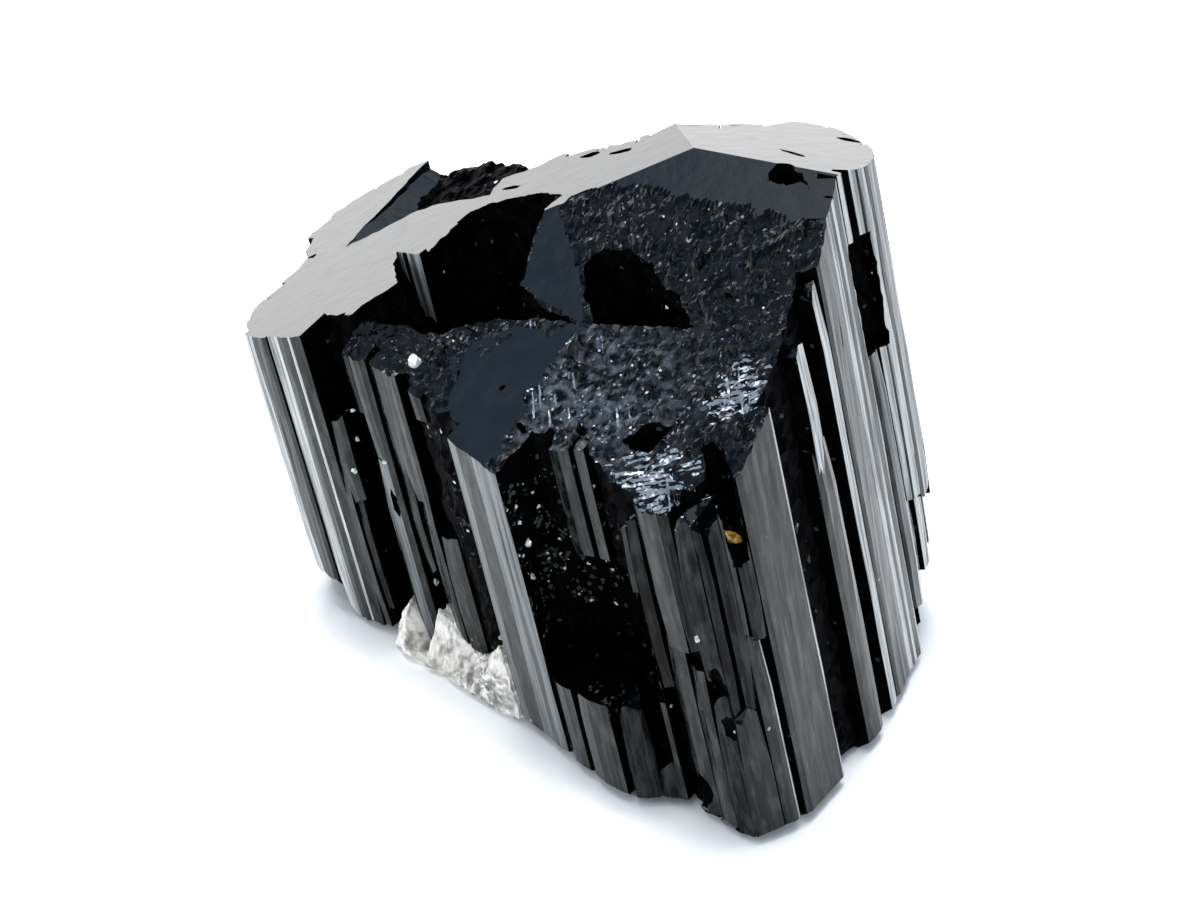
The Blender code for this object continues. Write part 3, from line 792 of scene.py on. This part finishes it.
def carveTip(body):
    shelfPoint = tip["ledgePoint"] + Vector((0, 0, tip["shelf"]))
    combine(body, "DIFFERENCE", [flatSlab("left_cut", Vector((0, 0, 0)), tip["leftFace"]),
                                 flatSlab("right_cut", tip["apex"], tip["rightFace"])])
    front = drawPrism("front_break", ragged(breaks["front"], 0.6, 0.16, 1.0), deep, tall)
    combine(front, "INTERSECT", [
        roughSheet("slope", *breaks["frontPlan"], tip["apex"], tip["frontFace"], slopeRelief),
        roughSheet("ledge", *breaks["frontPlan"], tip["ledgePoint"], tip["ledge"], ledgeRelief)])
    left = drawPrism("left_break", ragged(breaks["left"], 0.5, 0.14, 2.0), deep, tall)
    combine(left, "INTERSECT", [
        roughSheet("shelf", *breaks["leftPlan"], shelfPoint, tip["ledge"], shelfRelief)])
    back = drawPrism("back_break", ragged(breaks["back"], 0.6, 0.14, 5.0), deep, tall)
    trough = Vector((0, 0, -tip["troughDepth"]))
    # the trough takes the painted-shade finish, so that it doesn't mirror the lights
    combine(back, "INTERSECT", [
        roughSheet("trough", *breaks["backPlan"], trough, tip["leftFace"],
                   lambda u, v: etched(u, v, 21.0, 1.2), kind="dark"),
        flatSlab("trough_facet", tip["troughPoint"], tip["troughFacet"])])
    combine(body, "DIFFERENCE", [front, left, back])
    return body


hollowWalls = {
    "spacing": 0.45,
    "jitter": 0.12,
    "step": 0.7,
    "rough": 0.3,
    "mouth": 2.0,               # w under which the walls draw in
}


def openHollow(name, outline, floor, rim, taper):
    look = hollowWalls
    pit = drawPrism(name, ragged(outline, look["spacing"], look["jitter"], floor), floor, rim, look["step"])
    middle = sum((Vector(point) for point in outline), Vector((0, 0))) / len(outline)
    for vertex in pit.data.vertices:
        depth = (look["mouth"] - vertex.co.z) / (look["mouth"] - floor)
        # the cavity low on the front has upright walls
        depth = max(0.0, min(1.0, depth)) if rim > 0 else 0.0
        vertex.co.xy = middle + (vertex.co.xy - middle) * (1 - (1 - taper) * depth)
        if floor + 0.1 < vertex.co.z < rim - 0.1:
            vertex.co += noise.noise_vector(vertex.co * 1.4) * look["rough"]
    return pit


# dents: place u, v, w, length, width, depth in mm and heading in degrees
dents = (
    (26.8, 8.2, 6.0, 1.9, 0.8, 0.9, -30), (29.2, 6.3, 6.7, 2.0, 0.6, 0.9, -30),
    (20.5, 8.4, 4.4, 1.9, 0.5, 1.0, -35), (31.2, 0.5, 7.7, 0.5, 0.4, 0.5, 0),
    (41.6, -0.4, 7.5, 2.8, 0.4, 1.0, -48), (45.5, 2.6, 6.3, 2.2, 0.6, 1.0, -42),
    (19.3, -11.3, -0.7, 0.5, 0.4, 0.6, 20),
    (20.5, -15.2, -1.7, 0.5, 1.2, 0.9, 20), (43.6, -6.8, 7.1, 0.9, 0.2, 0.4, -30),
    (35.8, -10.8, 2.6, 0.6, 0.9, 0.7, 10),
    # broken places low on the front
    (30.7, -27.1, -16.9, 1.3, 1.2, 1.2, -40), (31.0, -27.4, -20.6, 1.9, 1.0, 1.1, -20),
    (28.0, -24.7, -27.6, 1.5, 1.4, 1.6, -40),
    (33.9, -25.9, -7.6, 1.0, 1.2, 1.4, 35), (8.5, -5.1, -12.4, 0.6, 0.7, 1.2, -30))
dentRoughness = 0.24                # of a dent's width


def pressDent(index, row):
    u, v, w, length, width, depth, heading = row
    bpy.ops.object.select_all(action="DESELECT")
    bpy.ops.mesh.primitive_ico_sphere_add(subdivisions=2, radius=0.5)
    dent = bpy.context.object
    dent.name = f"dent_{index}"
    for vertex in dent.data.vertices:
        vertex.co += noise.noise_vector(vertex.co * 3 + Vector((index, 0, 0))) * dentRoughness
        vertex.co = (vertex.co.x * length, vertex.co.y * width, vertex.co.z * depth * 2)
    turn = Matrix.Rotation(math.radians(heading), 4, "Z")
    dent.data.transform(Matrix.Translation((u, v, w)) @ turn)
    dress(dent, "dark")
    return dent


def makeTourmaline():
    pick = random.Random(ribs["seed"])
    body = growCore()
    rows = [(row, 1) for row in leftFace + frontFace]
    rows += [(row, -1) for row in rightFace]
    rows += [(row, -1) for row in growBack(random.Random(back["seed"]))]
    combine(body, "UNION", [growColumn(f"column_{index}", row, side, pick)
                            for index, (row, side) in enumerate(rows)])
    report(f"{len(rows)} columns joined")
    carveTip(body)
    report("tip carved")
    combine(body, "DIFFERENCE", [openHollow(*row) for row in hollows])
    stub = growColumn("hollow_column", hollowColumn, 1, pick)
    combine(stub, "DIFFERENCE", [flatSlab("stub_cut", Vector((0, 0, 0)), tip["leftFace"])])
    combine(body, "UNION", [stub])
    combine(body, "DIFFERENCE", [pressDent(index, row) for index, row in enumerate(dents)])
    tablePoint = tableUp * -stand["cornerHeight"]
    combine(body, "DIFFERENCE", [flatSlab("table_cut", tablePoint, -tableUp, "etched")])
    report(f"tourmaline with {len(body.data.polygons)} faces")
    return body


wear = {"height": 0.9 * mm, "inward": 1.1 * mm}


def wearFoot(thing):
    # the lowest edge is worn back, so that the floor darkens under it
    only(thing)
    bpy.ops.object.mode_set(mode="EDIT")
    bpy.ops.mesh.select_all(action="SELECT")
    bpy.ops.mesh.bisect(plane_co=(0, 0, wear["height"]), plane_no=(0, 0, 1))
    bpy.ops.object.mode_set(mode="OBJECT")
    middle = sum((vertex.co for vertex in thing.data.vertices), Vector()) / len(thing.data.vertices)
    for vertex in thing.data.vertices:
        if vertex.co.z < wear["height"] * 0.5:
            away = (vertex.co - middle).xy
            vertex.co.xy -= away.normalized() * min(wear["inward"], away.length * 0.3)


body = makeTourmaline()
for face in body.data.polygons:
    face.use_smooth = False
only(body)
bpy.ops.object.duplicate()
mould = bpy.context.object
standUp(body)
wearFoot(body)
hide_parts("tourmaline_crystal")
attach(body, "root")
report("tourmaline stands")


# the feldspar scrap wedged between the feet of the left columns
feldspar = {
    "outline": ((5.3, -4.3), (6.2, -5.6), (7.6, -6.9), (9.6, -9.0), (11.9, -11.3), (14.9, -14.0),
                (15.8, -13.0), (15.6, -12.2), (14.0, -9.4), (11.8, -6.4), (9.0, -3.8), (6.8, -2.2)),
    "rim": -19.2,
    # the line of the columns, and how high the scrap stands there by u
    "line": ((4.0, -2.4), (9.3, -5.5), (11.7, -7.9), (15.6, -15.3)),
    "heights": ((4.6, -26.2), (5.2, -25.2), (7.4, -21.4), (7.9, -23.4), (8.2, -26.0), (9.2, -25.8),
                (9.6, -21.8), (10.4, -22.8), (11.3, -24.3), (12.9, -24.2), (13.6, -22.6), (14.6, -20.6),
                (16.0, -23.0)),
    "fall": 1.3,                # mm down per mm in front of the line
    "lump": -25.4,              # height of the low part in front
    "cell": 0.12,
    "cloud": 0.9,               # cloudy patches and clearer spots per mm
    "spot": 2.2,
    "clearest": ((13.2, -11.4, -25.0), 4.6),
    "rust": (((10.2, -8.4, -21.3), 1.1), ((13.6, -11.6, -22.7), 1.1)),
    "colours": {"dim": "#96938b", "cream": "#e6e3dc", "clear": "#343a45", "rust": "#9a6f45"},
    "roughness": 0.42,
    "index": 1.52,
}


def besideLine(u, v):
    # the nearest u on the line of the columns, and how far in front of it a place is
    nearest = None
    for start, end in zip(feldspar["line"], feldspar["line"][1:]):
        start, along = Vector(start), Vector(end) - Vector(start)
        away = Vector((u, v)) - start
        share = max(0.0, min(1.0, away.dot(along) / along.length_squared))
        gap = away - along * share
        outward = Vector((along.y, -along.x))
        front = math.copysign(gap.length, gap.dot(outward))
        if nearest is None or abs(front) < abs(nearest[1]):
            nearest = (start.x + along.x * share, front)
    return nearest


def feldsparRelief(u, v):
    at, front = besideLine(u, v)
    table = feldspar["heights"]
    height = table[0][1] if at < table[0][0] else table[-1][1]
    for (firstU, first), (lastU, last) in zip(table, table[1:]):
        if firstU <= at <= lastU:
            height = first + (last - first) * (at - firstU) / (lastU - firstU)
    if front > 0:
        height = max(height - feldspar["fall"] * front, min(height, feldspar["lump"] - 0.2 * front))
    return height + chips(u, v, 0.9, 0.3, 0.5, 31.0) + chips(u, v, 0.35, 0.4, 0.5, 37.0)


def feldsparFinish():
    # pale cream mineral, dull to pearly, grey and clearer in places, with a little rust
    finish, tree, place = newFinish("feldspar")
    colours = {name: hexColour(code) for name, code in feldspar["colours"].items()}
    cloud = addNode(tree, "ShaderNodeTexNoise", {"Vector": place, "Scale": feldspar["cloud"] * perMm,
                                                 "Detail": 5.0})
    cloud = addNode(tree, "ShaderNodeMapRange", {"Value": cloud, "From Min": 0.36, "From Max": 0.52})
    base = addNode(tree, "ShaderNodeMix", {"Factor": cloud, "A": colours["dim"], "B": colours["cream"]},
                   data_type="RGBA").outputs["Result"]
    clear = patch(tree, place, feldspar["clearest"])
    spots = addNode(tree, "ShaderNodeTexNoise", {"Vector": place, "Scale": feldspar["spot"] * perMm,
                                                 "Detail": 3.0})
    spots = addNode(tree, "ShaderNodeMapRange", {"Value": spots, "From Min": 0.42, "From Max": 0.53})
    grey = addNode(tree, "ShaderNodeMath", {0: clear, 1: spots}, operation="MULTIPLY")
    base = addNode(tree, "ShaderNodeMix", {"Factor": grey, "A": base, "B": colours["clear"]},
                   data_type="RGBA").outputs["Result"]
    for stain in feldspar["rust"]:
        rust = addNode(tree, "ShaderNodeMath", {0: patch(tree, place, stain), 1: spots},
                       operation="MULTIPLY")
        base = addNode(tree, "ShaderNodeMix", {"Factor": rust, "A": base, "B": colours["rust"]},
                       data_type="RGBA").outputs["Result"]
    bump = addNode(tree, "ShaderNodeBump", {"Height": spots, "Strength": 0.4, "Distance": 0.1 * mm})
    shader = addNode(tree, "ShaderNodeBsdfPrincipled", {
        "Base Color": base, "Roughness": feldspar["roughness"], "IOR": feldspar["index"], "Normal": bump})
    addNode(tree, "ShaderNodeOutputMaterial", {"Surface": shader})
    return finish


def makeFeldspar(neighbour):
    lump = drawPrism("feldspar", ragged(feldspar["outline"], 0.3, 0.12, 7.0), deep, feldspar["rim"], 0.35)
    for vertex in lump.data.vertices:
        vertex.co += noise.noise_vector(vertex.co * 1.6) * 0.25
    combine(lump, "DIFFERENCE", [
        roughSheet("feldspar_top", (3.0, -17.0), (18.0, 0.0), Vector((0, 0, 0)), Vector((0, 0, 1)),
                   feldsparRelief, feldspar["cell"]),
        flatSlab("table_cut", tableUp * -stand["cornerHeight"], -tableUp), neighbour])
    lump.data.materials.clear()
    lump.data.materials.append(feldsparFinish())
    for face in lump.data.polygons:
        face.material_index = 0
        face.use_smooth = False
    return lump


# grains of other minerals on the crystal
# where on it, length, width and thickness in mm, and turn in degrees; each is laid on along one line
grains = {
    "towardsFront": Vector((0.107, -0.8455, 0.523)),
    "colours": {"golden": ("#8f6118", "#f0c45c"), "white": ("#cfd2d4", "#fbfbfa"),
                "specks": ("#8f9a98", "#e9ecec")},
    "golden": (((34.1, -25.8, -6.7), (2.3, 0.8, 0.9), 38),),
    "white": (((13.4, -10.2, 2.0), (1.0, 0.7, 1.5), 10),),
    "specks": (((9.9, -6.1, -19.1), (0.5, 0.4, 0.6), 0), ((6.9, -4.1, -4.5), (0.6, 0.2, 0.3), 0),
               ((6.7, -3.9, -7.1), (0.5, 0.3, 0.35), 30), ((5.9, -3.4, -10.0), (0.4, 0.3, 0.5), 0),
               ((8.6, -5.1, -8.7), (0.35, 0.3, 0.4), 0), ((19.6, -20.0, -8.0), (0.5, 0.4, 0.6), 20),
               ((19.1, -19.2, -11.4), (0.6, 0.5, 0.4), 50), ((15.1, -14.4, -19.4), (0.5, 0.4, 0.4), 0),
               ((30.2, -26.8, -13.2), (0.4, 0.3, 0.5), 0)),
}


def grainFinish(name, dim, bright):
    # small glassy grains of quartz and stained feldspar, uneven in colour
    finish, tree, place = newFinish(name)
    cloud = addNode(tree, "ShaderNodeTexNoise", {"Vector": place, "Scale": 2.6 * perMm, "Detail": 3.0})
    cloud = addNode(tree, "ShaderNodeMapRange", {"Value": cloud, "From Min": 0.4, "From Max": 0.6})
    base = addNode(tree, "ShaderNodeMix", {"Factor": cloud, "A": hexColour(dim),
                                           "B": hexColour(bright)}, data_type="RGBA").outputs["Result"]
    bump = addNode(tree, "ShaderNodeBump", {"Height": cloud, "Strength": 0.3, "Distance": 0.06 * mm})
    shader = addNode(tree, "ShaderNodeBsdfPrincipled", {
        "Base Color": base, "Roughness": 0.3, "IOR": 1.54, "Normal": bump})
    addNode(tree, "ShaderNodeOutputMaterial", {"Surface": shader})
    return finish


def layGrains(name, rows, finish, ground):
    laid = []
    for index, (place, size, turn) in enumerate(rows):
        start = Vector(place) + grains["towardsFront"] * 12.0
        met, spot, normal, face = ground.ray_cast(start, -grains["towardsFront"])
        bpy.ops.object.select_all(action="DESELECT")
        bpy.ops.mesh.primitive_ico_sphere_add(subdivisions=2, radius=0.5)
        grain = bpy.context.object
        grain.name = f"{name}_{index}"
        for vertex in grain.data.vertices:
            vertex.co += noise.noise_vector(vertex.co * 2.5 + Vector((index * 3.0, 0, 7.0))) * 0.3
            vertex.co = (vertex.co.x * size[0], vertex.co.y * size[1], vertex.co.z * size[2])
        leaning = Matrix.Rotation(math.radians(turn), 4, "Y")
        grain.data.transform(Matrix.Translation(spot if met else Vector(place)) @ leaning)
        laid.append(grain)
    bpy.ops.object.select_all(action="DESELECT")
    for grain in laid:
        grain.select_set(True)
    bpy.context.view_layer.objects.active = laid[0]
    if len(laid) > 1:
        bpy.ops.object.join()
    heap = bpy.context.object
    heap.name = name
    heap.data.materials.append(finish)
    standUp(heap)
    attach(heap, "root")


def makeGrains(ground):
    bpy.context.view_layer.update()
    for name, kind in (("golden_grain", "golden"), ("white_grain", "white"), ("white_specks", "specks")):
        layGrains(name, grains[kind], grainFinish(name, *grains["colours"][kind]), ground)
    report("grains laid")


# the table, the lights and the camera, in metres
studio = {
    "tableSize": 6.0,
    "paper": {"grain": 0.9, "colour": "#f2f2f2", "roughness": 0.9},
    "cornerToCamera": Vector((0.02576, -0.18813, 0.10981)),
    "pitch": math.radians(32.2756),
    "lens": 90.0,
    # brightness of the room by height: the sine of the elevation and a colour
    "sky": ((0.34, (0.85, 0.86, 0.88)), (0.8, (0.78, 0.88, 1.0)), (0.42, (0.16, 0.24, 0.36)),
            (0.755, (0.2, 0.3, 0.44))),
    "middle": (0.0, 0.0, 0.03),
    # soft boxes: place, what each faces, width, height and brightness
    "boxes": {
        "back_panel": ((-0.05, 0.34, 0.13), (0.0, 0.0, 0.03), 0.62, 0.22, 1.85),
        "floor_light": ((-0.08, 0.1, 0.5), (-0.08, 0.1, 0.0), 0.12, 0.12, 26.0),
        "top_box": ((-0.04, 0.05, 0.55), (0.0, 0.0, 0.0), 0.3, 0.3, 10.0),
        "left_panel": ((-0.45, -0.05, 0.14), (0.0, 0.0, 0.03), 0.4, 0.2, 2.2),
        "right_panel": ((0.45, -0.02, 0.14), (0.0, 0.0, 0.03), 0.4, 0.2, 1.5),
        "front_panel": ((0.0, -0.6, 0.2), (0.0, 0.0, 0.03), 0.5, 0.16, 1.6),
    },
    "unreflected": ("floor_light", "top_box"),
    # small lamps that make the glints: elevation and azimuth in degrees
    "sparkles": ((68, 60), (38, 122), (30, -168), (58, -100)),
    "sparkleDistance": 0.7,
    "sparkleSize": 0.05,
    "sparkleBrightness": 40.0,
}


def makeTable():
    bpy.ops.object.select_all(action="DESELECT")
    bpy.ops.mesh.primitive_plane_add(size=studio["tableSize"])
    table = bpy.context.object
    table.name = "table"
    # white paper, pressed: dull, with a faint grain
    finish, tree, place = newFinish("white_paper")
    paper = studio["paper"]
    grain = addNode(tree, "ShaderNodeTexNoise", {"Vector": place, "Scale": paper["grain"] * perMm,
                                                 "Detail": 3.0})
    bump = addNode(tree, "ShaderNodeBump", {"Height": grain, "Strength": 0.05, "Distance": 0.2 * mm})
    shader = addNode(tree, "ShaderNodeBsdfPrincipled", {
        "Base Color": hexColour(paper["colour"]), "Roughness": paper["roughness"],
        "Specular IOR Level": 0.1, "Normal": bump})
    addNode(tree, "ShaderNodeOutputMaterial", {"Surface": shader})
    table.data.materials.append(finish)


def softBox(name, place, towards, width, height, brightness):
    light = bpy.data.lights.new(name, "AREA")
    light.shape = "RECTANGLE"
    light.size, light.size_y = width, height
    light.energy = brightness * math.pi * width * height
    lamp = bpy.data.objects.new(name, light)
    bpy.context.scene.collection.objects.link(lamp)
    lamp.location = place
    lamp.rotation_euler = (Vector(towards) - Vector(place)).to_track_quat("-Z", "Y").to_euler()
    lamp.visible_camera = False
    return lamp


def makeSky():
    world = bpy.data.worlds.new("studio")
    world.use_nodes = True
    bpy.context.scene.world = world
    tree = world.node_tree
    direction = addNode(tree, "ShaderNodeSeparateXYZ", {
        "Vector": addNode(tree, "ShaderNodeTexCoord").outputs["Generated"]})
    sky = addNode(tree, "ShaderNodeValToRGB", {"Fac": direction.outputs["Z"]})
    for (height, colour), spot in zip(studio["sky"], (0, 1, None, None)):
        stop = sky.color_ramp.elements[spot] if spot is not None else sky.color_ramp.elements.new(height)
        stop.position = height
        stop.color = (*colour, 1.0)
    tree.links.new(sky.outputs["Color"], tree.nodes["Background"].inputs["Color"])


def makeLights():
    for name, row in studio["boxes"].items():
        lamp = softBox(name, *row)
        lamp.visible_glossy = name not in studio["unreflected"]
    size = studio["sparkleSize"]
    for index, (elevation, azimuth) in enumerate(studio["sparkles"]):
        side = Vector((math.cos(math.radians(azimuth)), math.sin(math.radians(azimuth))))
        side *= math.cos(math.radians(elevation))
        place = Vector((*side, math.sin(math.radians(elevation)))) * studio["sparkleDistance"]
        softBox(f"sparkle_{index}", place, studio["middle"], size, size, studio["sparkleBrightness"])


def makeCamera():
    data = bpy.data.cameras.new("camera")
    data.lens = studio["lens"]
    data.sensor_width = 36.0
    data.clip_start = 0.001
    camera = bpy.data.objects.new("camera", data)
    corner = Vector((-stand["seatU"], -stand["seatV"], stand["cornerHeight"])) * mm
    camera.location = corner + studio["cornerToCamera"]
    camera.rotation_euler = (math.pi / 2 - studio["pitch"], 0.0, 0.0)
    bpy.context.scene.collection.objects.link(camera)
    bpy.context.scene.camera = camera


makeGrains(mould)
scrap = makeFeldspar(mould)
standUp(scrap)
wearFoot(scrap)
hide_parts("feldspar_matrix")
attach(scrap, "root")
report(f"feldspar with {len(scrap.data.polygons)} faces")

makeTable()
makeSky()
makeLights()
makeCamera()
bpy.context.scene.view_settings.view_transform = "Standard"
report("studio ready")
